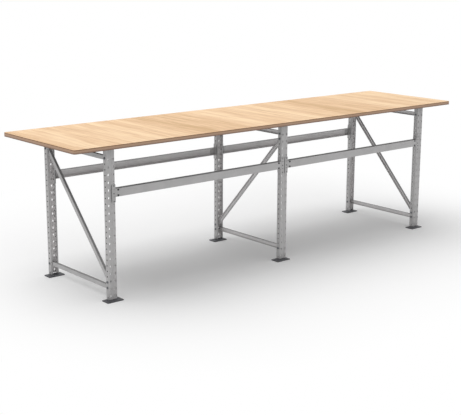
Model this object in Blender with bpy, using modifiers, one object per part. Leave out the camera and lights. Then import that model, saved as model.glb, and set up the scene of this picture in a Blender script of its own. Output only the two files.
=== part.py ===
"""Assembly table: a long wooden top on three braced frames of perforated uprights, tied by hooked beams.

Metres, +Z up. The origin is on the floor under the middle of the top, and the front is -Y.
"""
import math

import bmesh
import bpy
from mathutils import Matrix

# Clearance between pieces that touch
GAP = 0.0003

# Table top
TOP_LENGTH = 3.600
TOP_WIDTH = 0.880
TOP_THICK = 0.027
TOP_CORNER = 0.018

# Where the frames stand, and how high the work surface is
HEIGHT = 1.027
BAY = 1.500
FRAME_DEPTH = 0.764

# Upright: a rolled channel with a groove down its web and lips at its mouth
UP_WIDTH = 0.060
UP_DEPTH = 0.040
UP_WALL = 0.002
UP_BEND = 0.0025
GROOVE_WIDTH = 0.016
GROOVE_DEPTH = 0.003
GROOVE_SLOPE = 0.003

# Two columns of slots in the web, and one column of holes in each flange
SLOT_WIDTH = 0.009
SLOT_HEIGHT = 0.015
SLOT_PITCH = 0.050
SLOT_FIRST = 0.030
HOLE_SIZE = 0.0095
HOLE_PITCH = 0.037
HOLE_FIRST = 0.084

# Cross members and diagonals
BRACE_HEIGHT = 0.030
BRACE_WIDTH = 0.018
BRACE_WALL = 0.002
BRACE_CLEAR = 0.001
BRACE_END_STEPS = 3
LOW_ROW = 0
DIAGONAL_LOW_ROW = 1
DIAGONAL_TOP_DROP = 1

# Cross bolts
BOLT_SHANK = 0.0038
BOLT_HEAD = 0.0075
BOLT_HEAD_HIGH = 0.0053
BOLT_HOLE = 0.0048

# Beams
BEAM_HEIGHT = 0.056
BEAM_DEPTH = 0.032
BEAM_WALL = 0.002
BEAM_ROW = 13
BEAM_LIFT = 0.003

# Hooked connectors
CONN_WALL = 0.003
CONN_MARGIN = 0.0075
CONN_SIDE = 0.036
CONN_INNER = 0.003
TONGUE_LENGTH = 0.036
TONGUE_EASE = 0.0015
WINDOW_WIDTH = 0.007
WINDOW_HEIGHT = 0.009
HOOK_CLEAR = 0.001
HOOK_THROAT = 0.007
HOOK_DROP = 0.0055
HOOK_NOSE = 0.0025

# Footplates
PLATE_LENGTH = 0.124
PLATE_FRONT = 0.044
PLATE_REAR = -0.010
PLATE_SHIFT = 0.028
PLATE_SHIFT_LEFT = 0.010
PLATE_THICK = 0.006
PLATE_CORNER = 0.006
LUG_THICK = 0.003
LUG_HIGH = 0.016
LUG_LONG = 0.018

# Head angles that carry the top
ANGLE_WIDTH = 0.046
ANGLE_HEIGHT = 0.036
ANGLE_WALL = 0.003

# Places that follow from the sizes above
FACE = FRAME_DEPTH / 2
UNDERSIDE = HEIGHT - TOP_THICK
UP_BASE = PLATE_THICK + GAP
UP_HEAD = UNDERSIDE - GAP
UP_LONG = UP_HEAD - UP_BASE
MOUTH = 2 * BRACE_WIDTH + 6 * GAP
GROOVE_BACK = UP_WALL + GROOVE_DEPTH
BOLT_IN = GROOVE_BACK + BRACE_CLEAR + BRACE_HEIGHT / 2
BOLT_Y = FACE - BOLT_IN
SLOT_X = (UP_WIDTH + GROOVE_WIDTH) / 4
SLOT_ROWS = int((UP_HEAD - ANGLE_HEIGHT - SLOT_FIRST) / SLOT_PITCH) + 1
HOLE_TOP = UP_HEAD - ANGLE_HEIGHT - BRACE_HEIGHT / 2 - 0.008
HOLE_ROWS = int((HOLE_TOP - HOLE_FIRST) / HOLE_PITCH) + 1
CONN_Z = SLOT_FIRST + (BEAM_ROW + 0.5) * SLOT_PITCH
BEAM_Z = CONN_Z + BEAM_LIFT
CONN_FACE = UP_WIDTH / 2 + GAP + CONN_WALL
CONN_HEIGHT = 2 * SLOT_PITCH + 2 * CONN_MARGIN
BEAM_LONG = BAY - 2 * (CONN_FACE + GAP)


def hole_z(row):
    return HOLE_FIRST + row * HOLE_PITCH


# Scene and collections
for old in list(bpy.data.objects):
    bpy.data.objects.remove(old, do_unlink=True)
parts = bpy.data.collections.new("assembly_table")
tools = bpy.data.collections.new("cutters")
bpy.context.scene.collection.children.link(parts)
bpy.context.scene.collection.children.link(tools)
tools.hide_render = True


def material(name, colour, roughness, metallic):
    made = bpy.data.materials.new(name)
    made.use_nodes = True
    shader = made.node_tree.nodes["Principled BSDF"]
    shader.inputs["Base Color"].default_value = (*colour, 1.0)
    shader.inputs["Roughness"].default_value = roughness
    shader.inputs["Metallic"].default_value = metallic
    made.diffuse_color = (*colour, 1.0)
    return made


WOOD = material("beech_top", (0.78, 0.56, 0.33), 0.45, 0.0)
UPRIGHT = material("galvanised_upright", (0.36, 0.37, 0.38), 0.42, 0.9)
BRACE = material("galvanised_brace", (0.40, 0.41, 0.42), 0.40, 0.9)
BEAM = material("galvanised_beam", (0.38, 0.38, 0.39), 0.42, 0.9)
CONNECTOR = material("galvanised_connector", (0.34, 0.35, 0.36), 0.45, 0.9)
FOOT = material("dark_footplate", (0.06, 0.06, 0.065), 0.55, 0.3)
BOLT = material("zinc_bolt", (0.30, 0.31, 0.32), 0.35, 0.95)
ANGLE = material("galvanised_angle", (0.35, 0.36, 0.37), 0.45, 0.9)


def tool_object(name, mesh):
    """Holds a mesh as a cutter or as a blank that is still to be baked."""
    made = bpy.data.objects.new(name, mesh)
    made.hide_render = True
    made.display_type = "WIRE"
    tools.objects.link(made)
    return made


def part(name, mesh, look, location=(0, 0, 0), rotation=(0, 0, 0)):
    made = bpy.data.objects.new(name, mesh)
    if not mesh.materials:
        mesh.materials.append(look)
    made.location = location
    made.rotation_euler = rotation
    parts.objects.link(made)
    return made


def strip(name, path, long, wall):
    """Folds a sheet along a path in XY, from 0 to long in Z; the wall lies to the left of the path."""
    form = bmesh.new()
    low = [form.verts.new((x, y, 0.0)) for x, y in path]
    edges = [form.edges.new(pair) for pair in zip(low, low[1:])]
    swept = bmesh.ops.extrude_edge_only(form, edges=edges)
    rise = [v for v in swept["geom"] if isinstance(v, bmesh.types.BMVert)]
    bmesh.ops.translate(form, verts=rise, vec=(0.0, 0.0, long))
    mesh = bpy.data.meshes.new(name)
    form.to_mesh(mesh)
    form.free()
    made = tool_object(name, mesh)
    skin = made.modifiers.new("wall", "SOLIDIFY")
    skin.thickness = wall
    skin.offset = -1.0
    skin.use_even_offset = True
    return made


def prism(name, outline, thick):
    """Fills a flat outline in XY and thickens it evenly about z = 0."""
    curve = bpy.data.curves.new(name, "CURVE")
    curve.dimensions = "2D"
    curve.fill_mode = "BOTH"
    curve.extrude = thick / 2
    line = curve.splines.new("POLY")
    line.points.add(len(outline) - 1)
    for point, (x, y) in zip(line.points, outline):
        point.co = (x, y, 0.0, 1.0)
    line.use_cyclic_u = True
    holder = bpy.data.objects.new(name + "_curve", curve)
    tools.objects.link(holder)
    bpy.context.view_layer.update()
    ready = holder.evaluated_get(bpy.context.evaluated_depsgraph_get())
    mesh = bpy.data.meshes.new_from_object(ready)
    bpy.data.objects.remove(holder, do_unlink=True)
    return tool_object(name, welded(mesh))


def welded(mesh):
    form = bmesh.new()
    form.from_mesh(mesh)
    bmesh.ops.remove_doubles(form, verts=form.verts, dist=0.000001)
    bmesh.ops.recalc_face_normals(form, faces=form.faces)
    form.to_mesh(mesh)
    form.free()
    return mesh


def box(name, size, centre):
    form = bmesh.new()
    bmesh.ops.create_cube(form, size=1.0)
    bmesh.ops.scale(form, verts=form.verts, vec=size)
    bmesh.ops.translate(form, verts=form.verts, vec=centre)
    mesh = bpy.data.meshes.new(name)
    form.to_mesh(mesh)
    form.free()
    return tool_object(name, mesh)


def rod(name, radius, long, sides, turn=0.0):
    """A round cutter along X, about the origin."""
    form = bmesh.new()
    bmesh.ops.create_cone(form, cap_ends=True, segments=sides, radius1=radius, radius2=radius, depth=long)
    bmesh.ops.rotate(form, verts=form.verts, matrix=Matrix.Rotation(math.pi / 2, 3, "Y"))
    bmesh.ops.rotate(form, verts=form.verts, matrix=Matrix.Rotation(turn, 3, "X"))
    mesh = bpy.data.meshes.new(name)
    form.to_mesh(mesh)
    form.free()
    return tool_object(name, mesh)


def turned(blank, matrix):
    form = bmesh.new()
    form.from_mesh(blank.data)
    bmesh.ops.rotate(form, verts=form.verts, matrix=matrix)
    form.to_mesh(blank.data)
    form.free()
    return blank


def repeat(blank, count, step):
    row = blank.modifiers.new("row", "ARRAY")
    row.count = count
    row.use_relative_offset = False
    row.use_constant_offset = True
    row.constant_offset_displace = step
    return blank


def combine(blank, tool, operation):
    join = blank.modifiers.new(operation.lower(), "BOOLEAN")
    join.operation = operation
    join.solver = "EXACT"
    join.object = tool
    return blank


def bake(blank, name):
    """Takes the finished mesh of a blank, ready to be shared by every copy of the piece."""
    bpy.context.view_layer.update()
    ready = blank.evaluated_get(bpy.context.evaluated_depsgraph_get())
    mesh = welded(bpy.data.meshes.new_from_object(ready))
    mesh.name = name
    return mesh


def rounded(points, radius):
    """Cuts each inner corner of a path with one short facet, as a bend."""
    made = [points[0]]
    for before, here, after in zip(points, points[1:], points[2:]):
        for other in (before, after):
            span = math.dist(here, other)
            share = radius / span
            made.append((here[0] + (other[0] - here[0]) * share, here[1] + (other[1] - here[1]) * share))
    made.append(points[-1])
    return made


# Table top: a board with rounded corners
def top_mesh():
    form = bmesh.new()
    bmesh.ops.create_cube(form, size=1.0)
    bmesh.ops.scale(form, verts=form.verts, vec=(TOP_LENGTH, TOP_WIDTH, TOP_THICK))
    tall = [e for e in form.edges if abs(e.verts[0].co.z - e.verts[1].co.z) > TOP_THICK / 2]
    bmesh.ops.bevel(form, geom=tall, offset=TOP_CORNER, offset_type="OFFSET", affect="EDGES", segments=4,
                    profile=0.5, material=-1)
    mesh = bpy.data.meshes.new("table_top")
    form.to_mesh(mesh)
    form.free()
    return mesh


part("table_top", top_mesh(), WOOD, (0, 0, HEIGHT - TOP_THICK / 2))


# Upright: folded channel, web face at y = 0, mouth toward +y, then slotted and drilled
def upright_mesh():
    half = UP_WIDTH / 2
    rib = GROOVE_WIDTH / 2
    web = [(half, 0), (rib, 0), (rib - GROOVE_SLOPE, GROOVE_DEPTH)]
    side = [(MOUTH / 2, UP_DEPTH), (half, UP_DEPTH)] + web
    folded = rounded(side[:4], UP_BEND)[:-1] + side[3:]
    path = folded + [(-x, y) for x, y in reversed(folded)]
    blank = strip("upright_blank", path, UP_LONG, UP_WALL)
    slot = box("upright_slot", (SLOT_WIDTH, 4 * UP_WALL, SLOT_HEIGHT), (-SLOT_X, 0, SLOT_FIRST - UP_BASE))
    repeat(slot, SLOT_ROWS, (0, 0, SLOT_PITCH))
    repeat(slot, 2, (2 * SLOT_X, 0, 0))
    hole = box("upright_hole", (4 * UP_WALL, HOLE_SIZE, HOLE_SIZE), (-half, BOLT_IN, HOLE_FIRST - UP_BASE))
    repeat(hole, HOLE_ROWS, (0, 0, HOLE_PITCH))
    repeat(hole, 2, (UP_WIDTH, 0, 0))
    combine(blank, slot, "DIFFERENCE")
    combine(blank, hole, "DIFFERENCE")
    return bake(blank, "upright")


# Footplate: flat plate with an upturned lug on each side of the upright, whose middle is at x = y = 0;
# the plate's own middle is shifted along x
def footplate_mesh(name, shift):
    near = -UP_DEPTH / 2 - PLATE_FRONT
    far = UP_DEPTH / 2 + PLATE_REAR
    low, high, c = shift - PLATE_LENGTH / 2, shift + PLATE_LENGTH / 2, PLATE_CORNER
    outline = [(low, near + c), (low + c, near), (high - c, near), (high, near + c), (high, far), (low, far)]
    blank = prism(name + "_blank", outline, PLATE_THICK)
    lug_x = UP_WIDTH / 2 + GAP + LUG_THICK / 2
    lug = box(name + "_lug", (LUG_THICK, LUG_LONG, LUG_HIGH + PLATE_THICK / 2),
              (-lug_x, 0, LUG_HIGH / 2 + PLATE_THICK / 4))
    repeat(lug, 2, (2 * lug_x, 0, 0))
    combine(blank, lug, "UNION")
    return bake(blank, name)


# Brace: small channel along y with coped round ends and a bolt hole at each end; web on the side of face
def brace_mesh(name, reach, face):
    h, w = BRACE_HEIGHT / 2, BRACE_WIDTH / 2
    whole = reach + BRACE_HEIGHT
    path = [(-face * w, face * h), (face * w, face * h), (face * w, -face * h), (-face * w, -face * h)]
    blank = strip(name + "_blank", path, whole, BRACE_WALL)
    form = bmesh.new()
    form.from_mesh(blank.data)
    bmesh.ops.translate(form, verts=form.verts, vec=(0, 0, -whole / 2))
    bmesh.ops.rotate(form, verts=form.verts, matrix=Matrix.Rotation(-math.pi / 2, 3, "X"))
    form.to_mesh(blank.data)
    form.free()
    outline = []
    for end in (1, -1):
        for step in range(BRACE_END_STEPS + 1):
            turn = math.pi * step / BRACE_END_STEPS
            outline.append((end * (reach / 2 + h * math.sin(turn)), end * h * 1.02 * math.cos(turn)))
    ends = prism(name + "_ends", outline, 3 * BRACE_WIDTH)
    turned(ends, Matrix.Rotation(math.pi / 2, 3, "Z"))
    turned(ends, Matrix.Rotation(math.pi / 2, 3, "Y"))
    hole = rod(name + "_hole", BOLT_HOLE, 3 * BRACE_WIDTH, 6)
    hole.location = (0, -reach / 2, 0)
    repeat(hole, 2, (0, reach, 0))
    combine(blank, ends, "INTERSECT")
    combine(blank, hole, "DIFFERENCE")
    return bake(blank, name)


# Cross bolt along x: head, shank through both flanges, and nut
def bolt_mesh():
    seat = UP_WIDTH / 2 + GAP
    end = seat + BOLT_HEAD_HIGH
    line = [(-end, 0), (-end, BOLT_HEAD), (-seat, BOLT_HEAD), (-seat, BOLT_SHANK)]
    line = line + [(-x, r) for x, r in reversed(line)]
    form = bmesh.new()
    verts = [form.verts.new((x, 0, r)) for x, r in line]
    for pair in zip(verts, verts[1:]):
        form.edges.new(pair)
    mesh = bpy.data.meshes.new("bolt_line")
    form.to_mesh(mesh)
    form.free()
    blank = tool_object("bolt_blank", mesh)
    spin = blank.modifiers.new("turn", "SCREW")
    spin.axis = "X"
    spin.steps = 6
    spin.render_steps = 6
    spin.use_merge_vertices = True
    spin.merge_threshold = 0.00005
    return bake(blank, "cross_bolt")


# Beam: channel along x, outer web at y = 0, mouth toward +y
def beam_mesh():
    h = BEAM_HEIGHT / 2
    path = rounded([(BEAM_DEPTH, -h), (0, -h), (0, h), (BEAM_DEPTH, h)], BEAM_WALL)
    blank = strip("beam_blank", path, BEAM_LONG, BEAM_WALL)
    form = bmesh.new()
    form.from_mesh(blank.data)
    for vert in form.verts:
        depth, high, along = vert.co
        vert.co = (along - BEAM_LONG / 2, depth, high)
    form.to_mesh(blank.data)
    form.free()
    return bake(blank, "beam")


# Connector: angle round the upright's corner, with two hooks into the slots, three windows and a tongue
# in the beam. Upright's web face at y = 0 and its middle at x = 0; the beam leaves toward hand * x.
def connector_mesh(name, hand):
    inner = CONN_INNER
    front = -GAP - CONN_WALL
    path = [(hand * inner, front), (hand * CONN_FACE, front), (hand * CONN_FACE, CONN_SIDE)]
    path = rounded(path, CONN_WALL)
    if hand > 0:
        path.reverse()
    blank = strip(name + "_blank", path, CONN_HEIGHT, CONN_WALL)
    form = bmesh.new()
    form.from_mesh(blank.data)
    bmesh.ops.translate(form, verts=form.verts, vec=(0, 0, -CONN_HEIGHT / 2))
    form.to_mesh(blank.data)
    form.free()
    seat = BEAM_WALL + GAP
    tall = BEAM_HEIGHT - 2 * BEAM_WALL - 2 * TONGUE_EASE
    start = CONN_FACE - CONN_WALL / 2
    tongue = box(name + "_tongue", (TONGUE_LENGTH + CONN_WALL / 2, CONN_WALL, tall),
                 (hand * (start + (TONGUE_LENGTH + CONN_WALL / 2) / 2), seat + CONN_WALL / 2, BEAM_LIFT))
    back = UP_WALL + GAP + HOOK_NOSE
    low = -SLOT_HEIGHT / 2 + HOOK_CLEAR
    outline = [(front / 2 - GAP / 2, low), (back - HOOK_NOSE, low), (back - HOOK_NOSE, low - HOOK_DROP),
               (back, low - HOOK_DROP), (back, low + HOOK_THROAT), (front / 2 - GAP / 2, low + HOOK_THROAT)]
    hook = prism(name + "_hook", outline, SLOT_WIDTH - 2 * HOOK_CLEAR)
    turned(hook, Matrix.Rotation(math.pi / 2, 3, "X"))
    turned(hook, Matrix.Rotation(math.pi / 2, 3, "Z"))
    hook.location = (hand * SLOT_X, 0, -SLOT_PITCH / 2)
    repeat(hook, 2, (0, 0, SLOT_PITCH))
    window = box(name + "_window", (WINDOW_WIDTH, 3 * CONN_WALL, WINDOW_HEIGHT),
                 (hand * SLOT_X, front, -SLOT_PITCH))
    repeat(window, 3, (0, 0, SLOT_PITCH))
    combine(blank, tongue, "UNION")
    combine(blank, hook, "UNION")
    combine(blank, window, "DIFFERENCE")
    return bake(blank, name)


# Head angle inside the upright: one leg against the web's rib, the other under the top
def angle_mesh():
    deep = UP_DEPTH - UP_WALL - GROOVE_BACK - 3 * GAP
    path = [(0, -ANGLE_HEIGHT), (0, 0), (deep, 0)]
    blank = strip("angle_blank", path, ANGLE_WIDTH, ANGLE_WALL)
    form = bmesh.new()
    form.from_mesh(blank.data)
    for vert in form.verts:
        depth, high, along = vert.co
        vert.co = (along - ANGLE_WIDTH / 2, depth + GROOVE_BACK + GAP, high)
    form.to_mesh(blank.data)
    form.free()
    return bake(blank, "head_angle")


UPRIGHT_MESH = upright_mesh()
FOOT_MESH = {0: footplate_mesh("footplate_end", -PLATE_SHIFT_LEFT),
             1: footplate_mesh("footplate_wide", -PLATE_SHIFT)}
ANGLE_MESH = angle_mesh()
BOLT_MESH = bolt_mesh()
BEAM_MESH = beam_mesh()
CONNECTOR_MESH = {1: connector_mesh("connector_right", 1), -1: connector_mesh("connector_left", -1)}
TOP_ROW = HOLE_ROWS - 1
RISE = hole_z(TOP_ROW - DIAGONAL_TOP_DROP) - hole_z(DIAGONAL_LOW_ROW)
DIAGONAL_REACH = math.hypot(2 * BOLT_Y, RISE)
CROSS_MESH = {f: brace_mesh("cross_%d" % f, 2 * BOLT_Y, f) for f in (-1, 1)}
DIAGONAL_MESH = {f: brace_mesh("diagonal_%d" % f, DIAGONAL_REACH, f) for f in (-1, 1)}

# Frames: name, place along x, side that the brace webs face and the cross members lie on, lane of the
# diagonal (-1 left of, 0 on, +1 right of the middle), its lean (+1 rises to the rear), and whether the
# footplates are the wide-set ones
FRAMES = (("left", -BAY, -1, -1, 1, 0), ("mid", 0.0, 1, -1, -1, 1), ("right", BAY, 1, 0, 1, 1))
LANE = BRACE_WIDTH / 2 + GAP
for side, x, face, lane, lean, foot in FRAMES:
    for row, sign in (("front", -1), ("rear", 1)):
        tag = side + "_" + row
        spin = 0.0 if sign < 0 else math.pi
        part("upright_" + tag, UPRIGHT_MESH, UPRIGHT, (x, sign * FACE, UP_BASE), (0, 0, spin))
        part("head_angle_" + tag, ANGLE_MESH, ANGLE, (x, sign * FACE, UP_HEAD), (0, 0, spin))
        part("footplate_" + tag, FOOT_MESH[foot], FOOT, (x, sign * (FACE - UP_DEPTH / 2), PLATE_THICK / 2))
    top_z, low_z = hole_z(TOP_ROW), hole_z(LOW_ROW)
    head_z, foot_z = hole_z(TOP_ROW - DIAGONAL_TOP_DROP), hole_z(DIAGONAL_LOW_ROW)
    part("cross_low_" + side, CROSS_MESH[face], BRACE, (x + face * LANE, 0, low_z))
    part("cross_top_" + side, CROSS_MESH[face], BRACE, (x + face * LANE, 0, top_z))
    tilt = lean * math.atan2(RISE, 2 * BOLT_Y)
    middle = (head_z + foot_z) / 2
    part("diagonal_" + side, DIAGONAL_MESH[face], BRACE, (x + lane * LANE, 0, middle), (tilt, 0, 0))
    spots = (("low_front", -1, low_z), ("low_rear", 1, low_z),
             ("top_front", -1, top_z), ("top_rear", 1, top_z),
             ("diagonal_low", -lean, foot_z), ("diagonal_top", lean, head_z))
    for spot, sign, z in spots:
        part("bolt_" + side + "_" + spot, BOLT_MESH, BOLT, (x, sign * BOLT_Y, z))

# Beams and their connectors
for bay, x in (("left", -BAY / 2), ("right", BAY / 2)):
    for row, sign in (("front", -1), ("rear", 1)):
        spin = 0.0 if sign < 0 else math.pi
        part("beam_" + bay + "_" + row, BEAM_MESH, BEAM, (x, sign * FACE, BEAM_Z), (0, 0, spin))
        for end, out in (("left", -1), ("right", 1)):
            hand = out * sign
            part("connector_" + bay + "_" + row + "_" + end, CONNECTOR_MESH[hand], CONNECTOR,
                 (x + out * BAY / 2, sign * FACE, CONN_Z), (0, 0, spin))
bpy.context.view_layer.update()
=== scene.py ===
import math

import bmesh
import bpy
from mathutils import Matrix, Vector


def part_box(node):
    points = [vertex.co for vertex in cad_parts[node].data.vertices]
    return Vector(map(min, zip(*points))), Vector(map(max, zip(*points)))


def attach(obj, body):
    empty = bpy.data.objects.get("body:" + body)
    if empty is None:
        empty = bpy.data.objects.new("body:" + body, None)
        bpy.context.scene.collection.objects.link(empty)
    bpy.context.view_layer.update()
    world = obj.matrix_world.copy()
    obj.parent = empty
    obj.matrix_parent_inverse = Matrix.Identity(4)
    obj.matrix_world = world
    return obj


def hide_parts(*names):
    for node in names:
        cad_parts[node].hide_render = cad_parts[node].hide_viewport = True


# Dresses the assembly table: finishes, folded strip, fasteners, floor, light and camera
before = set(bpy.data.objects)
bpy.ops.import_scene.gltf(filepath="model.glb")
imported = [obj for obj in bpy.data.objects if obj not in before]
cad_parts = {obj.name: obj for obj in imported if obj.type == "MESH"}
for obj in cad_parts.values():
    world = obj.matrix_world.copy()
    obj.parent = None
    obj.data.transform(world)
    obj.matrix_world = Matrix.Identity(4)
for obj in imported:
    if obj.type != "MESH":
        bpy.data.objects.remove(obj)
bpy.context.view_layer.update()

SIDES = ("left", "mid", "right")
ROWS = ("front", "rear")
ENDS = ("left", "right")

# Sizes in metres; the main ones are those of the solids
GAP = 0.0003
TOP_CORNER = 0.018
TOP_EASE = 0.0010

# Uprights
UPRIGHT_WIDTH = 0.060
UPRIGHT_DEPTH = 0.040
UPRIGHT_WALL = 0.002
UPRIGHT_BEND = 0.0035
GROOVE_WIDTH = 0.016
GROOVE_DEPTH = 0.003
GROOVE_SLOPE = 0.003
GROOVE_BEND = 0.002
MOUTH = 0.0378
SLOT_X = 0.019
SLOT_WIDTH = 0.009
SLOT_HEIGHT = 0.015
SLOT_PITCH = 0.050
SLOT_FIRST = 0.030
SLOT_ROWS = 19
HOLE_IN = 0.021
HOLE_SIZE = 0.0095
HOLE_PITCH = 0.037
HOLE_FIRST = 0.084
HOLE_ROWS = 24
COLLAR_DEEP = 0.0048
COLLAR_WALL = 0.001

# Braces and their bolts
BRACE_HEIGHT = 0.030
BRACE_WIDTH = 0.018
BRACE_WALL = 0.002
BRACE_BEND = 0.0028
BRACE_HOLE = 0.0092
WASHER_RADIUS = 0.0082
WASHER_THICK = 0.0012
NUT_RADIUS = 0.0073
NUT_EASE = 0.0008
SHANK_RADIUS = 0.0038
THREAD_END = 0.0024
DISC_EASE = 0.0003

# Beams and their bolts
BEAM_WALL = 0.002
BEAM_BEND = 0.004
FIX_IN = 0.020
FIX_RISE = 0.018
FIX_HOLE = 0.0085
FIX_WASHER_RADIUS = 0.0062
FIX_WASHER_THICK = 0.0008
FIX_HEAD_RADIUS = 0.0056
FIX_HEAD_HIGH = 0.0042
FIX_HEAD_ROUND = 0.0018

# Connectors
CONNECTOR_WALL = 0.003
CONNECTOR_SIDE = 0.036
CONNECTOR_INNER = 0.003
CONNECTOR_BEND = 0.004
CONNECTOR_CORNER = 0.004
TONGUE_LENGTH = 0.036
TONGUE_ROOT = 0.0005
TONGUE_LIFT = 0.003
TONGUE_CLEAR = 0.003
TONGUE_CORNER = 0.005
WINDOW_WIDTH = 0.007
WINDOW_HEIGHT = 0.009
LANCE_HEIGHT = 0.0065
LANCE_RISE = 0.004
HOOK_CLEAR = 0.002
HOOK_DEEP = 0.0064
HOOK_THROAT = 0.007
HOOK_DROP = 0.0055
HOOK_MIDDLE = 0.0014
HOOK_SINK = 0.003
RIVET_RADIUS = 0.0031
RIVET_HIGH = 0.0020

# Footplates
PLATE_THICK = 0.006
PLATE_CORNER = 0.006
PLATE_EASE = 0.0008
LUG_THICK = 0.003
LUG_HIGH = 0.016
LUG_LONG = 0.018
LUG_CORNER = 0.006
LUG_SINK = 0.001
LUG_SPARE = 0.008

# Head angles and their screws
ANGLE_WALL = 0.003
ANGLE_BEND = 0.004
ANGLE_CORNER = 0.004
SCREW_X = 0.012
SCREW_SHIFT = 0.002
SCREW_HOLE = 0.005
SCREW_HEAD_RADIUS = 0.0042
SCREW_HEAD_HIGH = 0.0022
SCREW_HEAD_ROUND = 0.0012
SCREW_RADIUS = 0.0022
SCREW_LONG = 0.014

# Two points closer than this are one point
SAME = 0.000001

# Sizes of the patterns in the finishes, in metres too
ZINC_CRYSTAL = 0.014
ZINC_CLOUD = 0.11
ROLL_MARK = 0.003
ROLL_RUN = 0.25
TURNING_MARK = 0.0025
ENAMEL_PEEL = 0.0018
DUST_PATCH = 0.03
GRAIN_SWAY = 0.03
SWAY_LONG = 0.6
LEAF_START = -1.775
LEAF_RUN = 1.44
STREAK_WIDTH = 0.030
STREAK_LONG = 0.45
PORE_WIDTH = 0.0012
PORE_LONG = 0.022
PLY_SWAY = 0.0008
PLY_SWAY_LONG = 0.20
PLY_GRIT = 0.004
FILM_CLOUD = 0.09
FILM_WEAVE = 0.0015


# Colours are written as sRGB and used as linear values
def linear(code):
    parts = [int(code[i:i + 2], 16) / 255 for i in (1, 3, 5)]
    return tuple(c / 12.92 if c <= 0.04045 else ((c + 0.055) / 1.055) ** 2.4 for c in parts) + (1.0,)


def feed(tree, node, inputs):
    """Links or fills a node's inputs."""
    for key, value in inputs.items():
        if isinstance(value, bpy.types.NodeSocket):
            tree.links.new(value, node.inputs[key])
        else:
            node.inputs[key].default_value = value


def add(tree, kind, inputs=None, stops=None, **settings):
    """Adds a node with its settings, its inputs and, on a colour ramp, its stops."""
    made = tree.nodes.new(kind)
    for name, value in settings.items():
        setattr(made, name, value)
    feed(tree, made, inputs or {})
    if stops:
        ramp = made.color_ramp.elements
        while len(ramp) < len(stops):
            ramp.new(0.5)
        for element, (place, colour) in zip(ramp, stops):
            element.position = place
            element.color = colour if isinstance(colour, tuple) else (colour, colour, colour, 1.0)
    return made


def material(name):
    """A new material, its node tree, its shader, and the Object coordinates that its patterns lie on."""
    made = bpy.data.materials.new(name)
    made.use_nodes = True
    tree = made.node_tree
    place = add(tree, "ShaderNodeTexCoord").outputs["Object"]
    return made, tree, tree.nodes["Principled BSDF"], place


# Hot-dip galvanised steel: dull zinc grey, with crystals of zinc about as wide as a fingertip that turn the
# light a little differently, cloudy patches, and faint marks of the rollers along the strip. The faces that
# look up are darkened with painted shade, for the shade of the table top above them.
def galvanised(name, dark, pale, along, dust_and_shade):
    made, tree, shader, place = material(name)
    crystals = add(tree, "ShaderNodeTexVoronoi",
                   {"Vector": place, "Scale": 1 / ZINC_CRYSTAL, "Randomness": 1.0})
    grey = add(tree, "ShaderNodeSeparateColor", {"Color": crystals.outputs["Color"]}).outputs["Red"]
    clouds = add(tree, "ShaderNodeTexNoise", {"Vector": place, "Scale": 1 / ZINC_CLOUD, "Detail": 3.0})
    stretch = [1 / ROLL_MARK, 1 / ROLL_MARK, 1 / ROLL_MARK]
    stretch["XYZ".index(along)] = 1 / ROLL_RUN
    marks_at = add(tree, "ShaderNodeMapping", {"Vector": place, "Scale": stretch})
    marks = add(tree, "ShaderNodeTexNoise",
                {"Vector": marks_at.outputs["Vector"], "Scale": 1.0, "Detail": 2.0})
    patch = add(tree, "ShaderNodeMath", {0: grey, 1: 0.14, 2: clouds.outputs["Fac"]},
                operation="MULTIPLY_ADD")
    streak = add(tree, "ShaderNodeMath", {0: marks.outputs["Fac"], 1: 0.20, 2: patch.outputs[0]},
                 operation="MULTIPLY_ADD")
    tone = add(tree, "ShaderNodeValToRGB", {"Fac": streak.outputs[0]},
               stops=[(0.35, linear(dark)), (1.0, linear(pale))])
    facing = add(tree, "ShaderNodeNewGeometry").outputs["Normal"]
    upward = add(tree, "ShaderNodeSeparateXYZ", {"Vector": facing}).outputs["Z"]
    # Painted shade: faces that look up are mixed toward a dark grey, for the shade of the table top over them
    up_shade = add(tree, "ShaderNodeMapRange",
                  {"Value": upward, "From Min": 0.3, "From Max": 0.7, "To Min": 0.0, "To Max": dust_and_shade})
    dusty_and_shaded = add(tree, "ShaderNodeMix",
                {0: up_shade.outputs["Result"], 6: tone.outputs["Color"], 7: linear("#3c3a38")},
                data_type="RGBA")
    gloss = add(tree, "ShaderNodeMapRange",
                {"Value": streak.outputs[0], "From Min": 0.35, "From Max": 1.0, "To Min": 0.58,
                 "To Max": 0.48})
    bump = add(tree, "ShaderNodeBump", {"Height": marks.outputs["Fac"], "Strength": 0.10, "Distance": 0.0004})
    feed(tree, shader, {"Base Color": dusty_and_shaded.outputs[2], "Roughness": gloss.outputs["Result"],
                        "Normal": bump.outputs["Normal"], "Metallic": 0.12, "Specular IOR Level": 0.1})
    return made


# Plated, blackened or freshly sheared steel: smoother than the strip, with fine turning or shearing marks.
def turned_steel(name, dark, pale, roughness):
    made, tree, shader, place = material(name)
    fine = add(tree, "ShaderNodeTexNoise", {"Vector": place, "Scale": 1 / TURNING_MARK, "Detail": 4.0})
    tone = add(tree, "ShaderNodeValToRGB", {"Fac": fine.outputs["Fac"]},
               stops=[(0.3, linear(dark)), (0.7, linear(pale))])
    gloss = add(tree, "ShaderNodeMapRange",
                {"Value": fine.outputs["Fac"], "To Min": roughness - 0.06, "To Max": roughness + 0.06})
    feed(tree, shader, {"Base Color": tone.outputs["Color"], "Roughness": gloss.outputs["Result"],
                        "Metallic": 1.0})
    return made


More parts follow.
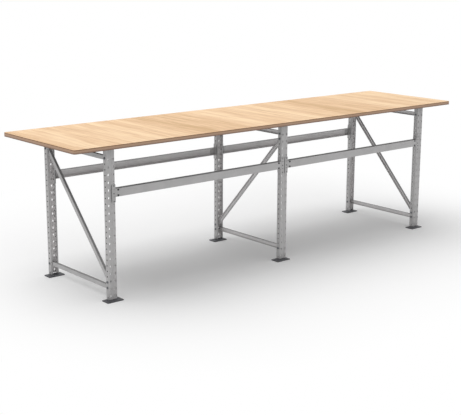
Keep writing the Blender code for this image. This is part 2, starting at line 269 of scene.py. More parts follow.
# Dark stove-enamelled plate: satin, with the slight orange peel of sprayed enamel and pale settled dust.
def enamelled(name, dark, dusty_and_shaded):
    made, tree, shader, place = material(name)
    peel = add(tree, "ShaderNodeTexNoise", {"Vector": place, "Scale": 1 / ENAMEL_PEEL, "Detail": 1.0})
    dust_and_shade = add(tree, "ShaderNodeTexNoise",
               {"Vector": place, "Scale": 1 / DUST_PATCH, "Detail": 5.0, "Roughness": 0.65})
    tone = add(tree, "ShaderNodeValToRGB", {"Fac": dust_and_shade.outputs["Fac"]},
               stops=[(0.40, linear(dark)), (0.75, linear(dusty_and_shaded))])
    gloss = add(tree, "ShaderNodeMapRange", {"Value": dust_and_shade.outputs["Fac"], "To Min": 0.42, "To Max": 0.70})
    bump = add(tree, "ShaderNodeBump", {"Height": peel.outputs["Fac"], "Strength": 0.15, "Distance": 0.0003})
    feed(tree, shader, {"Base Color": tone.outputs["Color"], "Roughness": gloss.outputs["Result"],
                        "Normal": bump.outputs["Normal"], "Metallic": 0.2})
    return made


# Beech veneer under a matt lacquer: pale honey, with its grain across the table. Leaves cut one after another
# from the same log lie side by side, 1.44 m of them before the run repeats, each with its own pale and dark
# bands; over them lie darker streaks about 30 mm wide and the short flecks of cut rays.
def beech_face():
    made, tree, shader, place = material("beech_veneer_lacquered")
    sway = add(tree, "ShaderNodeTexNoise", {"Vector": place, "Scale": 1 / SWAY_LONG, "Detail": 1.0})
    across = add(tree, "ShaderNodeSeparateXYZ", {"Vector": place}).outputs["X"]
    shift = add(tree, "ShaderNodeMath", {0: sway.outputs["Fac"], 1: GRAIN_SWAY, 2: across},
                operation="MULTIPLY_ADD")
    run = add(tree, "ShaderNodeMapRange",
              {"Value": shift.outputs[0], "From Min": LEAF_START, "From Max": LEAF_START + LEAF_RUN},
              clamp=False)
    leaf = add(tree, "ShaderNodeMath", {0: run.outputs["Result"]}, operation="FRACT")
    # Each band is its place in the run of leaves and how pale it is
    bands = add(tree, "ShaderNodeValToRGB", {"Fac": leaf.outputs[0]},
                stops=[(0.000, 0.41), (0.125, 0.88), (0.200, 0.44), (0.250, 0.70),
                       (0.300, 0.46), (0.345, 0.82), (0.432, 0.50), (0.444, 1.00),
                       (0.545, 0.41), (0.600, 0.65), (0.650, 0.47), (0.775, 0.04),
                       (0.825, 0.47), (0.900, 0.30), (0.950, 0.47), (0.975, 0.33)])
    streak_at = add(tree, "ShaderNodeMapping",
                    {"Vector": place, "Scale": (1 / STREAK_WIDTH, 1 / STREAK_LONG, 1.0)})
    streaks = add(tree, "ShaderNodeTexNoise",
                  {"Vector": streak_at.outputs["Vector"], "Scale": 1.0, "Detail": 5.0, "Roughness": 0.68,
                   "Distortion": 0.4})
    # Real pores are a tenth of a millimetre wide: they are drawn 1.2 mm wide so that they show
    pore_at = add(tree, "ShaderNodeMapping",
                  {"Vector": place, "Scale": (1 / PORE_WIDTH, 1 / PORE_LONG, 1.0)})
    pores = add(tree, "ShaderNodeTexNoise",
                {"Vector": pore_at.outputs["Vector"], "Scale": 1.0, "Detail": 2.0})
    soft = add(tree, "ShaderNodeMath", {0: streaks.outputs["Fac"], 1: 2.5, 2: bands.outputs["Color"]},
               operation="MULTIPLY_ADD")
    grain = add(tree, "ShaderNodeMath", {0: pores.outputs["Fac"], 1: 0.16, 2: soft.outputs[0]},
                operation="MULTIPLY_ADD")
    level = add(tree, "ShaderNodeMapRange", {"Value": grain.outputs[0], "From Min": 1.28, "From Max": 2.30})
    tone = add(tree, "ShaderNodeValToRGB", {"Fac": level.outputs["Result"]},
               stops=[(0.0, linear("#cfa97b")), (0.5, linear("#e7c198")), (1.0, linear("#f9dab2"))])
    gloss = add(tree, "ShaderNodeMapRange", {"Value": streaks.outputs["Fac"], "To Min": 0.52, "To Max": 0.66})
    bump = add(tree, "ShaderNodeBump", {"Height": pores.outputs["Fac"], "Strength": 0.08, "Distance": 0.0003})
    feed(tree, shader, {"Base Color": tone.outputs["Color"], "Roughness": gloss.outputs["Result"],
                        "Normal": bump.outputs["Normal"], "Specular IOR Level": 0.2})
    return made


# Plywood edge: layers of veneer, most of them about 4 mm thick, in several browns and darkest in the upper
# and lower skins, stained and sealed.
def ply_edge():
    made, tree, shader, place = material("beech_plywood_edge")
    under, over = (corner[2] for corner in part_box("table_top"))
    height = add(tree, "ShaderNodeSeparateXYZ", {"Vector": place}).outputs["Z"]
    sway = add(tree, "ShaderNodeTexNoise", {"Vector": place, "Scale": 1 / PLY_SWAY_LONG, "Detail": 2.0})
    level = add(tree, "ShaderNodeMath", {0: sway.outputs["Fac"], 1: PLY_SWAY, 2: height},
                operation="MULTIPLY_ADD")
    layer = add(tree, "ShaderNodeMapRange",
                {"Value": level.outputs[0], "From Min": under + PLY_SWAY / 2,
                 "From Max": over + PLY_SWAY / 2})
    plies = add(tree, "ShaderNodeValToRGB", {"Fac": layer.outputs["Result"]},
                stops=[(0.0, linear("#8d6f5e")), (0.15, linear("#a88a76")), (0.30, linear("#b89982")),
                       (0.45, linear("#c8a78d")), (0.62, linear("#b8937a")), (0.70, linear("#c49f82")),
                       (0.84, linear("#7d5b42"))])
    plies.color_ramp.interpolation = "CONSTANT"
    grit = add(tree, "ShaderNodeTexNoise",
               {"Vector": place, "Scale": 1 / PLY_GRIT, "Detail": 4.0, "Roughness": 0.7})
    speck = add(tree, "ShaderNodeValToRGB", {"Fac": grit.outputs["Fac"]}, stops=[(0.35, 0.78), (0.65, 1.0)])
    tone = add(tree, "ShaderNodeMix", {0: 1.0, 6: plies.outputs["Color"], 7: speck.outputs["Color"]},
               data_type="RGBA", blend_type="MULTIPLY")
    bump = add(tree, "ShaderNodeBump", {"Height": grit.outputs["Fac"], "Strength": 0.2, "Distance": 0.0004})
    feed(tree, shader, {"Base Color": tone.outputs[2], "Normal": bump.outputs["Normal"], "Roughness": 0.6,
                        "Specular IOR Level": 0.3})
    return made


# Underside of the top: plywood faced with a dark phenolic film, with the faint weave of the press in it.
def film_face():
    made, tree, shader, place = material("phenolic_film_underside")
    clouds = add(tree, "ShaderNodeTexNoise", {"Vector": place, "Scale": 1 / FILM_CLOUD, "Detail": 4.0})
    tone = add(tree, "ShaderNodeValToRGB", {"Fac": clouds.outputs["Fac"]},
               stops=[(0.3, linear("#484542")), (0.7, linear("#55524e"))])
    weave = add(tree, "ShaderNodeTexNoise", {"Vector": place, "Scale": 1 / FILM_WEAVE, "Detail": 1.0})
    bump = add(tree, "ShaderNodeBump", {"Height": weave.outputs["Fac"], "Strength": 0.2, "Distance": 0.0003})
    feed(tree, shader, {"Base Color": tone.outputs["Color"], "Normal": bump.outputs["Normal"],
                        "Roughness": 0.6})
    return made


# Wood of the top
BEECH = beech_face()
PLY = ply_edge()
FILM = film_face()

# Strip, angles and pressings, dulled outside; the insides of the channels and the inner faces of the brace
# and beam flanges are paler copies of the zinc, painted light that lifts the shade in them
UPRIGHT_STEEL = galvanised("galvanised_strip_upright", "#b8b7b7", "#c6c5c5", "Z", 0.55)
UPRIGHT_INSIDE_LIT = galvanised("galvanised_strip_upright_inside_painted_light", "#eceaea", "#f4f2f2", "Z", 0.0)
BRACE_STEEL = galvanised("galvanised_strip_brace", "#bab9b9", "#c8c7c7", "Y", 0.45)
BRACE_INSIDE_LIT = galvanised("galvanised_strip_brace_inside_painted_light", "#eceaea", "#f4f2f2", "Y", 0.0)
BRACE_FLANGE_LIT = galvanised("galvanised_strip_brace_flange_painted_light", "#cac8c8", "#d8d6d6", "Y", 0.1)
BEAM_STEEL = galvanised("galvanised_strip_beam", "#b9b8b8", "#c5c4c4", "X", 0.45)
BEAM_INSIDE_LIT = galvanised("galvanised_strip_beam_inside_painted_light", "#cecccc", "#dcdada", "X", 0.0)
BEAM_FLANGE_LIT = galvanised("galvanised_strip_beam_flange_painted_light", "#eceaea", "#f4f2f2", "X", 0.0)
CONNECTOR_STEEL = galvanised("galvanised_pressing", "#b3b2b2", "#c1c0c0", "Z", 0.55)
ANGLE_STEEL = galvanised("galvanised_angle", "#acabab", "#bab9b9", "X", 0.55)

# Cut edges, collars and rivets: painted shade, near black, for the shade in the slots, holes, gaps and
# windows
PUNCHED_SHADE = turned_steel("punched_steel_painted_shade", "#242426", "#343436", 0.6)

# Bolts, and the plates that the uprights stand on
BOLT_ZINC = turned_steel("zinc_plated_bolt", "#74777b", "#8c8f93", 0.34)
BOLT_BLACK = turned_steel("blackened_bolt", "#3a3b3d", "#4c4d50", 0.45)
FOOT_ENAMEL = enamelled("dark_enamelled_plate", "#46464a", "#5e5e62")


# Finished pieces
def piece(name, mesh, looks, nodes=()):
    """Makes an object of a mesh that is already in place, and ties it to the frame."""
    for look in looks:
        mesh.materials.append(look)
    made = bpy.data.objects.new(name, mesh)
    bpy.context.scene.collection.objects.link(made)
    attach(made, "root")
    if nodes:
        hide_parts(*nodes)


def mesh_of(form, name):
    mesh = bpy.data.meshes.new(name)
    form.to_mesh(mesh)
    form.free()
    return mesh


def moved(mesh, matrix):
    made = mesh.copy()
    made.transform(matrix)
    return made


def joined(name, meshes):
    form = bmesh.new()
    for mesh in meshes:
        form.from_mesh(mesh)
    return mesh_of(form, name)


# Places of the solids
def corners_of(node):
    return [Vector(corner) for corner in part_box(node)]


def middle(node):
    low, high = corners_of(node)
    return (low + high) / 2


def seat_on(node, row, z):
    """Middle of a node's outer face at a height; what is made for the front is turned round for the rear."""
    low, high = corners_of(node)
    face = low.y if row == "front" else high.y
    spin = Matrix.Rotation(0.0 if row == "front" else math.pi, 4, "Z")
    return Matrix.Translation(((low.x + high.x) / 2, face, z)) @ spin


# Forms that several pieces share
def eased(form, edges, size, steps):
    bmesh.ops.bevel(form, geom=edges, offset=size, offset_type="OFFSET", affect="EDGES", segments=steps,
                    profile=0.5, material=-1)


def split(form, place, normal, clear=False):
    """Cuts a form along a plane, may clear away what lies beyond it, and gives the edges of the cut."""
    everything = form.verts[:] + form.edges[:] + form.faces[:]
    cut = bmesh.ops.bisect_plane(form, geom=everything, plane_co=place, plane_no=normal, dist=SAME,
                                 clear_outer=clear)
    return [e for e in cut["geom_cut"] if isinstance(e, bmesh.types.BMEdge)]


def rounded_rectangle(low, high, radius, steps=4):
    points = []
    corners = ((high[0], high[1]), (low[0], high[1]), (low[0], low[1]), (high[0], low[1]))
    for turn, (x, y) in enumerate(corners):
        cx = x - math.copysign(radius, x - (low[0] + high[0]) / 2)
        cy = y - math.copysign(radius, y - (low[1] + high[1]) / 2)
        for step in range(steps + 1):
            angle = (turn + step / steps) * math.pi / 2
            points.append((cx + radius * math.cos(angle), cy + radius * math.sin(angle)))
    return points


def disc(radius, high, start, ease=DISC_EASE, sides=24, steps=2):
    """A disc or prism along z, from z = start up, with its upper edge eased."""
    form = bmesh.new()
    bmesh.ops.create_cone(form, cap_ends=True, segments=sides, radius1=radius, radius2=radius, depth=high)
    bmesh.ops.translate(form, verts=form.verts, vec=(0, 0, start + high / 2))
    eased(form, [e for e in form.edges if all(v.co.z > start + high * 0.9 for v in e.verts)], ease, steps)
    return mesh_of(form, "disc")


# Sheet metal: a flat blank is punched, then folded along its bend lines and given its thickness
def bend_path(corners, radii, steps):
    """Rounds the inner corners of a path; the metal lies to the right of it."""
    path = [Vector(corners[0])]
    for before, here, after, radius in zip(corners, corners[1:], corners[2:], radii):
        here = Vector(here)
        back = (Vector(before) - here).normalized()
        ahead = (Vector(after) - here).normalized()
        half = back.angle(ahead) / 2
        centre = here + (back + ahead).normalized() * (radius / math.sin(half))
        first = here + back * (radius / math.tan(half)) - centre
        last = here + ahead * (radius / math.tan(half)) - centre
        for step in range(steps + 1):
            path.append(centre + first.slerp(last, step / steps) * radius)
    path.append(Vector(corners[-1]))
    return path


def stations(path):
    run = [0.0]
    for a, b in zip(path, path[1:]):
        run.append(run[-1] + (b - a).length)
    return run


def nearest(path, point):
    """How far from a point a path passes, and how far along the path that place lies."""
    best = None
    for a, b, start in zip(path, path[1:], stations(path)):
        span = b - a
        share = max(0.0, min(1.0, (Vector(point) - a).dot(span) / span.length_squared))
        away = (a + span * share - Vector(point)).length
        if best is None or away < best[0]:
            best = (away, start + span.length * share)
    return best


def station_of(path, point):
    return nearest(path, point)[1]


def punched(outline, holes, sides=12):
    """A flat blank in XY; each hole is its place, width and height, with round ends."""
    form = bmesh.new()
    rim = [form.verts.new((x, y, 0.0)) for x, y in outline]
    for pair in zip(rim, rim[1:] + rim[:1]):
        form.edges.new(pair)
    for x, y, wide, high in holes:
        radius = min(wide, high) / 2
        ring = bmesh.ops.create_circle(form, cap_ends=False, segments=sides, radius=radius)["verts"]
        bmesh.ops.rotate(form, verts=ring, matrix=Matrix.Rotation(math.pi / sides, 3, "Z"))
        for vert in ring:
            vert.co.x += math.copysign(max(0.0, wide - high) / 2, vert.co.x)
            vert.co.y += math.copysign(max(0.0, high - wide) / 2, vert.co.y)
        bmesh.ops.translate(form, verts=ring, vec=(x, y, 0.0))
    bmesh.ops.triangle_fill(form, use_beauty=True, use_dissolve=False, edges=form.edges[:], normal=(0, 0, 1))
    return form


def folded(name, form, path, wall, rim=0):
    """Folds a punched blank: its x runs along the path in XY and its y becomes z.

    The outside has slot 0, the inside slot 1 and the cut edges the slot of rim.
    """
    run = stations(path)
    for place in run[1:-1]:
        split(form, (place, 0, 0), (1, 0, 0))
    for vert in form.verts:
        part = 0
        while part < len(path) - 2 and vert.co.x > run[part + 1]:
            part += 1
        share = (vert.co.x - run[part]) / (run[part + 1] - run[part])
        spot = path[part].lerp(path[part + 1], share)
        vert.co = (spot.x, spot.y, vert.co.y)
    form.normal_update()
    bmesh.ops.solidify(form, geom=form.faces[:], thickness=-wall)
    bmesh.ops.recalc_face_normals(form, faces=form.faces[:])
    for face in form.faces:
        depth = nearest(path, face.calc_center_median().xy)[0] / wall
        face.material_index = 0 if depth < 0.2 else rim if depth < 0.8 else 1
    return mesh_of(form, name)


def flange_look(mesh, half, wall):
    """Gives the inner faces of a folded channel's two flanges slot 2, a paler copy of the zinc with painted
    light; its web spans y from -half to half.
    """
    for face in mesh.polygons:
        if face.material_index == 1 and abs(face.center.y) > half - 1.6 * wall:
            face.material_index = 2


def lay_along_x(mesh, long):
    """Turns a fold's depth, height and length into y, z and x, with the middle of its length at x = 0."""
    mesh.transform(Matrix(((0, 0, 1, -long / 2), (1, 0, 0, 0), (0, 1, 0, 0), (0, 0, 0, 1))))


def flat_plate(outline, thick):
    """A plate in XY, from z = 0 up."""
    form = punched(outline, [])
    bmesh.ops.solidify(form, geom=form.faces[:], thickness=thick)
    bmesh.ops.recalc_face_normals(form, faces=form.faces[:])
    bmesh.ops.translate(form, verts=form.verts, vec=(0, 0, -min(v.co.z for v in form.verts)))
    return form


# Table top: rounded corners, eased arrises, veneer on its faces and layers on its edges
def table_top():
    low, high = corners_of("table_top")
    form = bmesh.new()
    bmesh.ops.create_cube(form, size=1.0)
    bmesh.ops.scale(form, verts=form.verts, vec=high - low)
    bmesh.ops.translate(form, verts=form.verts, vec=(low + high) / 2)
    eased(form, [e for e in form.edges if abs(e.verts[0].co.z - e.verts[1].co.z) > SAME], TOP_CORNER, 8)
    arris = [e for e in form.edges if abs(e.verts[0].co.z - e.verts[1].co.z) < SAME
             and any(abs(f.normal.z) < 0.5 for f in e.link_faces)]
    eased(form, arris, TOP_EASE, 2)
    for face in form.faces:
        face.material_index = 0 if face.normal.z > 0.9 else 2 if face.normal.z < -0.9 else 1
    piece("table_top_board", mesh_of(form, "table_top_board"), (BEECH, PLY, FILM), ("table_top",))


table_top()


# Upright: grooved channel with lips, two columns of slots in its web and a column of holes in each flange
def collar():
    """Collar of a plunged hole: a short tube along z, near black inside with painted shade for the shade in
    the hole.
    """
    form = bmesh.new()
    radius, sides = HOLE_SIZE / 2, 12
    bmesh.ops.create_cone(form, cap_ends=False, segments=sides, radius1=radius, radius2=radius,
                          depth=COLLAR_DEEP)
    bmesh.ops.rotate(form, verts=form.verts, matrix=Matrix.Rotation(math.pi / sides, 3, "Z"))
    bmesh.ops.solidify(form, geom=form.faces[:], thickness=-COLLAR_WALL)
    bmesh.ops.recalc_face_normals(form, faces=form.faces[:])
    for face in form.faces:
        face.material_index = 2 if face.calc_center_median().xy.length < radius else 1
    return mesh_of(form, "collar")


def upright_mesh():
    half, rib = UPRIGHT_WIDTH / 2, GROOVE_WIDTH / 2
    side = [(MOUTH / 2, UPRIGHT_DEPTH), (half, UPRIGHT_DEPTH), (half, 0), (rib, 0),
            (rib - GROOVE_SLOPE, GROOVE_DEPTH)]
    corners = side + [(-x, y) for x, y in reversed(side)]
    radii = [UPRIGHT_BEND, UPRIGHT_BEND, GROOVE_BEND, GROOVE_BEND]
    path = bend_path(corners, radii + radii[::-1], 3)
    low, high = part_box("upright_left_front")
    base, long = low[2], high[2] - low[2]
    end = stations(path)[-1]
    slot_heights = [SLOT_FIRST + row * SLOT_PITCH - base for row in range(SLOT_ROWS)]
    hole_heights = [HOLE_FIRST + row * HOLE_PITCH - base for row in range(HOLE_ROWS)]
    holes = []
    for x in (SLOT_X, -SLOT_X):
        place = station_of(path, (x, 0))
        holes += [(place, z, SLOT_WIDTH, SLOT_HEIGHT) for z in slot_heights]
    for x in (half, -half):
        place = station_of(path, (x, HOLE_IN))
        holes += [(place, z, HOLE_SIZE, HOLE_SIZE) for z in hole_heights]
    form = punched([(0, 0), (end, 0), (end, long), (0, long)], holes)
    # The cut edges take slot 2: painted shade for the shade in the slots and holes
    meshes = [folded("upright", form, path, UPRIGHT_WALL, 2)]
    # The flange holes are plunged: each has a collar on the inside
    ring = collar()
    ring.transform(Matrix.Rotation(math.pi / 2, 4, "Y"))
    deep = half - UPRIGHT_WALL - COLLAR_DEEP / 2
    for z in hole_heights:
        meshes += [moved(ring, Matrix.Translation((x, HOLE_IN, z))) for x in (deep, -deep)]
    return joined("upright", meshes)


UPRIGHT_MESH = upright_mesh()
for side in SIDES:
    for row in ROWS:
        node = "upright_" + side + "_" + row
        seat = seat_on(node, row, corners_of(node)[0].z)
        piece("rolled_" + node, moved(UPRIGHT_MESH, seat), (UPRIGHT_STEEL, UPRIGHT_INSIDE_LIT, PUNCHED_SHADE),
              (node,))


# Braces: small channels with rounded ends, bolted through their webs
def brace(name, node, first, last, face):
    """A channel from one bolt to another, lying in its node's lane, with its web on the side of face * x."""
    start, stop = middle(first), middle(last)
    start.x = stop.x = middle(node).x
    rise = stop - start
    reach = rise.length
    h, w = face * BRACE_HEIGHT / 2, face * BRACE_WIDTH / 2
    path = bend_path([(-w, h), (w, h), (w, -h), (-w, -h)], (BRACE_BEND, BRACE_BEND), 4)
    run = stations(path)
    flange, web, end = run[2], run[-1] - run[2], run[-1]
    centre, radius = end / 2, (web - flange) / 2
    turns = [math.pi * step / 10 for step in range(11)]
    arc = [(centre + radius * math.cos(turn), radius * math.sin(turn)) for turn in turns]
    lower = [(0, 0)] + [(end - x, -y) for x, y in arc] + [(end, 0)]
    upper = [(end, reach)] + [(x, reach + y) for x, y in arc] + [(0, reach)]
    holes = [(centre, y, BRACE_HOLE, BRACE_HOLE) for y in (0, reach)]
    mesh = folded(name, punched(lower + upper, holes), path, BRACE_WALL)
    flange_look(mesh, BRACE_HEIGHT / 2, BRACE_WALL)
    mesh.transform(Matrix.Rotation(-math.pi / 2, 4, "X"))
    mesh.transform(Matrix.Translation(start) @ Matrix.Rotation(math.atan2(rise.z, rise.y), 4, "X"))
    piece(name, mesh, (BRACE_STEEL, BRACE_INSIDE_LIT, BRACE_FLANGE_LIT), (node,))


for side, face, lean in (("left", -1, 1), ("mid", 1, -1), ("right", 1, 1)):
    bolt = "bolt_" + side + "_"
    for level in ("low", "top"):
        brace("cross_channel_" + level + "_" + side, "cross_" + level + "_" + side, bolt + level + "_front",
              bolt + level + "_rear", face)
    ends = ["diagonal_low", "diagonal_top"][::lean]
    brace("diagonal_channel_" + side, "diagonal_" + side, bolt + ends[0], bolt + ends[1], face)


# Cross bolts: washers and hexagons on both sides of the upright, and a thread end that stands out
def cross_bolt_mesh(node):
    low, high = corners_of(node)
    half = (high.x - low.x) / 2
    seat = UPRIGHT_WIDTH / 2 + GAP
    nut_high = half - seat - WASHER_THICK
    head = [disc(WASHER_RADIUS, WASHER_THICK, seat),
            disc(NUT_RADIUS, nut_high, seat + WASHER_THICK, NUT_EASE, 6, 1)]
    to_right = Matrix.Rotation(math.pi / 2, 4, "Y")
    to_left = Matrix.Rotation(-math.pi / 2, 4, "Y")
    meshes = [moved(mesh, to_left) for mesh in head] + [moved(mesh, to_right) for mesh in head]
    meshes.append(moved(disc(SHANK_RADIUS, 2 * half + THREAD_END, -half), to_right))
    return joined("cross_bolt", meshes)


CROSS_BOLT = cross_bolt_mesh("bolt_left_low_front")
for side in SIDES:
    for spot in ("low_front", "low_rear", "top_front", "top_rear", "diagonal_low", "diagonal_top"):
        node = "bolt_" + side + "_" + spot
        mesh = moved(CROSS_BOLT, Matrix.Translation(middle(node)))
        piece("cross_bolt_set_" + side + "_" + spot, mesh, (BOLT_ZINC,), (node,))


# Beams: channels with rounded bends, fixed to the tongues of their connectors by two bolts at each end
def beam_mesh():
    low, high = corners_of("beam_left_front")
    long, deep, half = high.x - low.x, high.y - low.y, (high.z - low.z) / 2
    path = bend_path([(deep, -half), (0, -half), (0, half), (deep, half)], (BEAM_BEND, BEAM_BEND), 4)
    end = stations(path)[-1]
    holes = []
    for z in (FIX_RISE, -FIX_RISE):
        place = station_of(path, (0, z))
        holes += [(place, y, FIX_HOLE, FIX_HOLE) for y in (FIX_IN, long - FIX_IN)]
    blank = punched([(0, 0), (end, 0), (end, long), (0, long)], holes)
    mesh = folded("beam", blank, path, BEAM_WALL)
    flange_look(mesh, half, BEAM_WALL)
    lay_along_x(mesh, long)
    return mesh


BEAM_MESH = beam_mesh()
FIX_BOLT = joined("fixing_bolt", [disc(FIX_WASHER_RADIUS, FIX_WASHER_THICK, 0),
                                  disc(FIX_HEAD_RADIUS, FIX_HEAD_HIGH, FIX_WASHER_THICK, FIX_HEAD_ROUND)])
OUTWARD = Matrix.Rotation(math.pi / 2, 4, "X")
for bay in ENDS:
    for row in ROWS:
        tag = bay + "_" + row
        node = "beam_" + tag
        seat = seat_on(node, row, middle(node).z)
        piece("channel_" + node, moved(BEAM_MESH, seat), (BEAM_STEEL, BEAM_INSIDE_LIT, BEAM_FLANGE_LIT),
              (node,))
        low, high = corners_of(node)
        reach = (high.x - low.x) / 2 - FIX_IN
        for end, x in (("left", -reach), ("right", reach)):
            places = [seat @ Matrix.Translation((x, -GAP, z)) for z in (FIX_RISE, -FIX_RISE)]
            pair = [moved(FIX_BOLT, place @ OUTWARD) for place in places]
            piece("fixing_bolts_" + tag + "_" + end, joined("fixing_bolts", pair), (BOLT_BLACK,))


# Connectors: folded angles with windows, two hooks through the slots and a tongue inside the beam
def connector_angle(hand, front, outer):
    low, high = corners_of("connector_left_front_left")
    tall = high.z - low.z
    corners = [(hand * CONNECTOR_INNER, front), (hand * outer, front), (hand * outer, CONNECTOR_SIDE)]
    if hand > 0:
        corners.reverse()
    path = bend_path(corners, (CONNECTOR_BEND,), 4)
    place = station_of(path, (hand * SLOT_X, front))
    end = stations(path)[-1]
    holes = [(place, tall / 2 + step * SLOT_PITCH, WINDOW_WIDTH, WINDOW_HEIGHT) for step in (-1, 0, 1)]
    # Each hook is lanced out of the plate and leaves an opening above itself, in front of the upright's slot
    holes += [(place, tall / 2 + step * SLOT_PITCH + LANCE_RISE, WINDOW_WIDTH, LANCE_HEIGHT)
              for step in (-0.5, 0.5)]
    blank = punched(rounded_rectangle((0, 0), (end, tall), CONNECTOR_CORNER), holes)
    # The cut edges take slot 2: painted shade for the dark gap between the two connectors
    angle = folded("connector_angle", blank, path, CONNECTOR_WALL, 2)
    angle.transform(Matrix.Translation((0, 0, -tall / 2)))
    return angle


def connector_tongue(hand, outer):
    low, high = corners_of("beam_left_front")
    rise = high.z - low.z - 2 * BEAM_WALL - TONGUE_CLEAR
    outline = rounded_rectangle((0, -rise / 2), (TONGUE_LENGTH + TONGUE_ROOT, rise / 2), TONGUE_CORNER)
    tongue = mesh_of(flat_plate(outline, CONNECTOR_WALL), "tongue")
    # The flat plate stands up behind the beam's web
    tongue.transform(Matrix(((hand, 0, 0, hand * (outer - TONGUE_ROOT)), (0, 0, 1, BEAM_WALL + GAP),
                             (0, 1, 0, TONGUE_LIFT), (0, 0, 0, 1))))
    return tongue


def connector_hook(x, z):
    """A hook in the slot at x and z, which drops behind the web."""
    form = bmesh.new()
    bmesh.ops.create_cube(form, size=1.0)
    bmesh.ops.scale(form, verts=form.verts, vec=(SLOT_WIDTH - 2 * HOOK_CLEAR, HOOK_DEEP, HOOK_THROAT))
    bmesh.ops.translate(form, verts=form.verts, vec=(x, HOOK_MIDDLE, z - HOOK_SINK))
    behind = UPRIGHT_WALL + GAP
    split(form, (0, behind, 0), (0, 1, 0))
    nose = [f for f in form.faces if f.normal.z < -0.9 and f.calc_center_median().y > behind]
    pulled = bmesh.ops.extrude_face_region(form, geom=nose)["geom"]
    tip = [v for v in pulled if isinstance(v, bmesh.types.BMVert)]
    bmesh.ops.translate(form, verts=tip, vec=(0, 0, -HOOK_DROP))
    bmesh.ops.delete(form, geom=nose, context="FACES_ONLY")
    return mesh_of(form, "hook")


def connector_mesh(hand):
    """Middle on the upright's web face, at the connector's half height; the beam leaves toward hand * x."""
    front, outer = -GAP - CONNECTOR_WALL, UPRIGHT_WIDTH / 2 + GAP + CONNECTOR_WALL
    meshes = [connector_angle(hand, front, outer), connector_tongue(hand, outer)]
    # The rivets are painted shade: near-black heads that stand for the shade in the windows
    rivet = disc(RIVET_RADIUS, RIVET_HIGH, 0.0)
    for face in rivet.polygons:
        face.material_index = 2
    for step in (-1, 0, 1):
        spot = Matrix.Translation((hand * SLOT_X, -GAP, step * SLOT_PITCH))
        meshes.append(moved(rivet, spot @ OUTWARD))
    meshes += [connector_hook(hand * SLOT_X, step * SLOT_PITCH) for step in (-0.5, 0.5)]
    form = bmesh.new()
    for mesh in meshes:
        form.from_mesh(mesh)
    # Standing the tongue up mirrors it on one hand, so the faces are turned outward again
    bmesh.ops.recalc_face_normals(form, faces=form.faces[:])
    return mesh_of(form, "connector")


CONNECTOR_MESH = {1: connector_mesh(1), -1: connector_mesh(-1)}
for bay in ENDS:
    for row in ROWS:
        for end in ENDS:
            node = "connector_" + bay + "_" + row + "_" + end
            upright = "upright_" + (bay if bay == end else "mid") + "_" + row
            seat = seat_on(upright, row, middle(node).z)
            hand = 1 if (end == "left") == (row == "front") else -1
            piece("hooked_" + node, moved(CONNECTOR_MESH[hand], seat),
                  (CONNECTOR_STEEL, CONNECTOR_STEEL, PUNCHED_SHADE), (node,))


# Footplates: flat plates with rounded corners and a welded lug at each side of the upright
def lug_mesh():
    """A lug in XY with round upper corners, square where it goes a little into the plate."""
    outline = rounded_rectangle((-LUG_LONG / 2, -LUG_SPARE), (LUG_LONG / 2, LUG_HIGH), LUG_CORNER)
    form = flat_plate(outline, LUG_THICK)
    bmesh.ops.holes_fill(form, edges=split(form, (0, -LUG_SINK, 0), (0, -1, 0), True))
    for face in form.faces:
        face.material_index = 1
    return mesh_of(form, "lug")


def footplate(tag):
    low, high = corners_of("footplate_" + tag)
    form = flat_plate(rounded_rectangle(low.xy, high.xy, PLATE_CORNER), PLATE_THICK)
    rim = [e for e in form.edges if all(v.co.z > PLATE_THICK * 0.9 for v in e.verts)
           and any(abs(f.normal.z) < 0.5 for f in e.link_faces)]
    eased(form, rim, PLATE_EASE, 2)
    meshes = [mesh_of(form, "plate")]
    low, high = corners_of("upright_" + tag)
    y = (low.y + high.y) / 2
    for x in (low.x - GAP - LUG_THICK, high.x + GAP):
        # The lug's flat outline stands up in YZ
        stand = Matrix(((0, 0, 1, x), (1, 0, 0, y), (0, 1, 0, PLATE_THICK), (0, 0, 0, 1)))
        meshes.append(moved(LUG, stand))
    piece("foot_plate_" + tag, joined("foot_plate", meshes), (FOOT_ENAMEL, UPRIGHT_STEEL),
          ("footplate_" + tag,))


# Head angles under the top, each with two wood screws
def head_angle(tag, row):
    node = "head_angle_" + tag
    low, high = corners_of(node)
    wide, deep, tall = high.x - low.x, high.y - low.y, high.z - low.z
    screw_y = deep / 2 + SCREW_SHIFT
    path = bend_path([(0, -tall), (0, 0), (deep, 0)], (ANGLE_BEND,), 4)
    end = stations(path)[-1]
    place = station_of(path, (screw_y, 0))
    holes = [(place, wide / 2 + x, SCREW_HOLE, SCREW_HOLE) for x in (-SCREW_X, SCREW_X)]
    blank = punched(rounded_rectangle((0, 0), (end, wide), ANGLE_CORNER), holes)
    mesh = folded("head_angle", blank, path, ANGLE_WALL)
    lay_along_x(mesh, wide)
    seat = seat_on(node, row, high.z)
    piece("bent_" + node, moved(mesh, seat), (ANGLE_STEEL, ANGLE_STEEL), (node,))
    places = [seat @ Matrix.Translation((x, screw_y, -ANGLE_WALL - GAP)) for x in (-SCREW_X, SCREW_X)]
    head_down = Matrix.Rotation(math.pi, 4, "X")
    pair = [moved(SCREW, place @ head_down) for place in places]
    piece("wood_screws_" + tag, joined("wood_screws", pair), (BOLT_ZINC,))


LUG = lug_mesh()
SCREW = joined("screw", [disc(SCREW_HEAD_RADIUS, SCREW_HEAD_HIGH, 0.0, SCREW_HEAD_ROUND),
                         disc(SCREW_RADIUS, SCREW_LONG, -SCREW_LONG)])
for side in SIDES:
    for row in ROWS:
        footplate(side + "_" + row)
        head_angle(side + "_" + row, row)


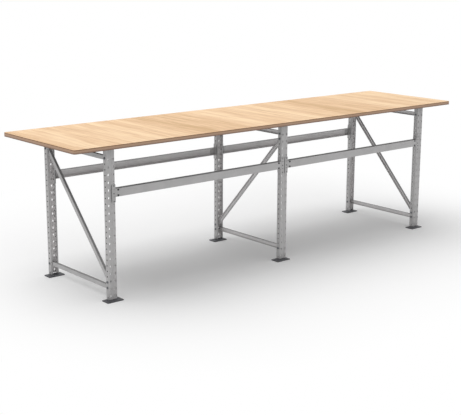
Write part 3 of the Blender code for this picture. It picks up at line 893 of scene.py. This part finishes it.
def background_seen(tree):
    """1 on the rays that show the background: from the camera, and by way of metal or glass."""
    rays = add(tree, "ShaderNodeLightPath").outputs
    seen = add(tree, "ShaderNodeMath", {0: rays["Is Camera Ray"], 1: rays["Is Glossy Ray"]},
               operation="MAXIMUM")
    seen = add(tree, "ShaderNodeMath", {0: seen.outputs[0], 1: rays["Is Transmission Ray"]},
               operation="MAXIMUM")
    return seen.outputs[0]


# Floor: pale and matt, fading to white away from a rectangle a little to the right of the table and behind it
FADE_MIDDLE = (0.21, 0.37, 0.0)
FADE_HALF = (1.15, 0.60, 0.0)
FADE_STRETCH = (1.12, 1.0, 0.0)
FADE_NEAR = 0.115
FADE_FAR = 1.917
FLOOR_HALF = 60.0


def floor_look():
    made, tree, shader, place = material("pale_floor")
    off = add(tree, "ShaderNodeVectorMath", {0: place, 1: FADE_MIDDLE}, operation="SUBTRACT")
    outer = add(tree, "ShaderNodeVectorMath", {0: off.outputs["Vector"]}, operation="ABSOLUTE")
    beyond = add(tree, "ShaderNodeVectorMath", {0: outer.outputs["Vector"], 1: FADE_HALF},
                 operation="SUBTRACT")
    clear = add(tree, "ShaderNodeVectorMath", {0: beyond.outputs["Vector"], 1: (0, 0, 0)},
                operation="MAXIMUM")
    scaled = add(tree, "ShaderNodeVectorMath", {0: clear.outputs["Vector"], 1: FADE_STRETCH},
                 operation="MULTIPLY")
    away = add(tree, "ShaderNodeVectorMath", {0: scaled.outputs["Vector"]}, operation="LENGTH")
    fade = add(tree, "ShaderNodeMapRange",
               {"Value": away.outputs["Value"], "From Min": FADE_NEAR, "From Max": FADE_FAR},
               interpolation_type="SMOOTHSTEP")
    part = add(tree, "ShaderNodeMath", {0: fade.outputs["Result"], 1: background_seen(tree)},
               operation="MULTIPLY")
    feed(tree, shader, {"Base Color": linear("#fafafa"), "Roughness": 0.9, "Specular IOR Level": 0.0})
    white = add(tree, "ShaderNodeEmission", {"Color": (1, 1, 1, 1), "Strength": 1.0})
    mixed = add(tree, "ShaderNodeMixShader",
                {0: part.outputs[0], 1: shader.outputs["BSDF"], 2: white.outputs["Emission"]})
    feed(tree, tree.nodes["Material Output"], {"Surface": mixed.outputs["Shader"]})
    return made


form = bmesh.new()
bmesh.ops.create_grid(form, x_segments=1, y_segments=1, size=FLOOR_HALF)
floor_mesh = mesh_of(form, "floor")
floor_mesh.materials.append(floor_look())
floor = bpy.data.objects.new("floor", floor_mesh)
bpy.context.scene.collection.objects.link(floor)

# Light: a broad ceiling of soft light a little behind the table, and an even white room
lamp = bpy.data.lights.new("soft_ceiling", "AREA")
lamp.shape = "RECTANGLE"
lamp.size = 11.3
lamp.size_y = 7.3
lamp.energy = 300.0
ceiling = bpy.data.objects.new("soft_ceiling", lamp)
ceiling.location = (-1.08, 2.13, 7.1)
ceiling.visible_camera = False
bpy.context.scene.collection.objects.link(ceiling)

world = bpy.data.worlds.new("white_room")
world.use_nodes = True
bpy.context.scene.world = world
tree = world.node_tree
level = add(tree, "ShaderNodeMapRange", {"Value": background_seen(tree), "To Min": 0.64, "To Max": 1.0})
feed(tree, tree.nodes["Background"], {"Color": (1, 1, 1, 1), "Strength": level.outputs["Result"]})

# Camera at the photograph's viewpoint
lens = bpy.data.cameras.new("camera")
lens.sensor_width = 36.0
lens.sensor_fit = "HORIZONTAL"
lens.lens = 81.714
camera = bpy.data.objects.new("camera", lens)
camera.location = (-5.10839, -5.79787, 2.15990)
pan, tilt, roll = (math.radians(angle) for angle in (-40.3402, 90 - 13.3975, 0.2150))
aim = Matrix.Rotation(pan, 3, "Z") @ Matrix.Rotation(tilt, 3, "X") @ Matrix.Rotation(roll, 3, "Z")
camera.rotation_euler = aim.to_euler()
bpy.context.scene.collection.objects.link(camera)
bpy.context.scene.camera = camera
bpy.context.scene.view_settings.view_transform = "Standard"
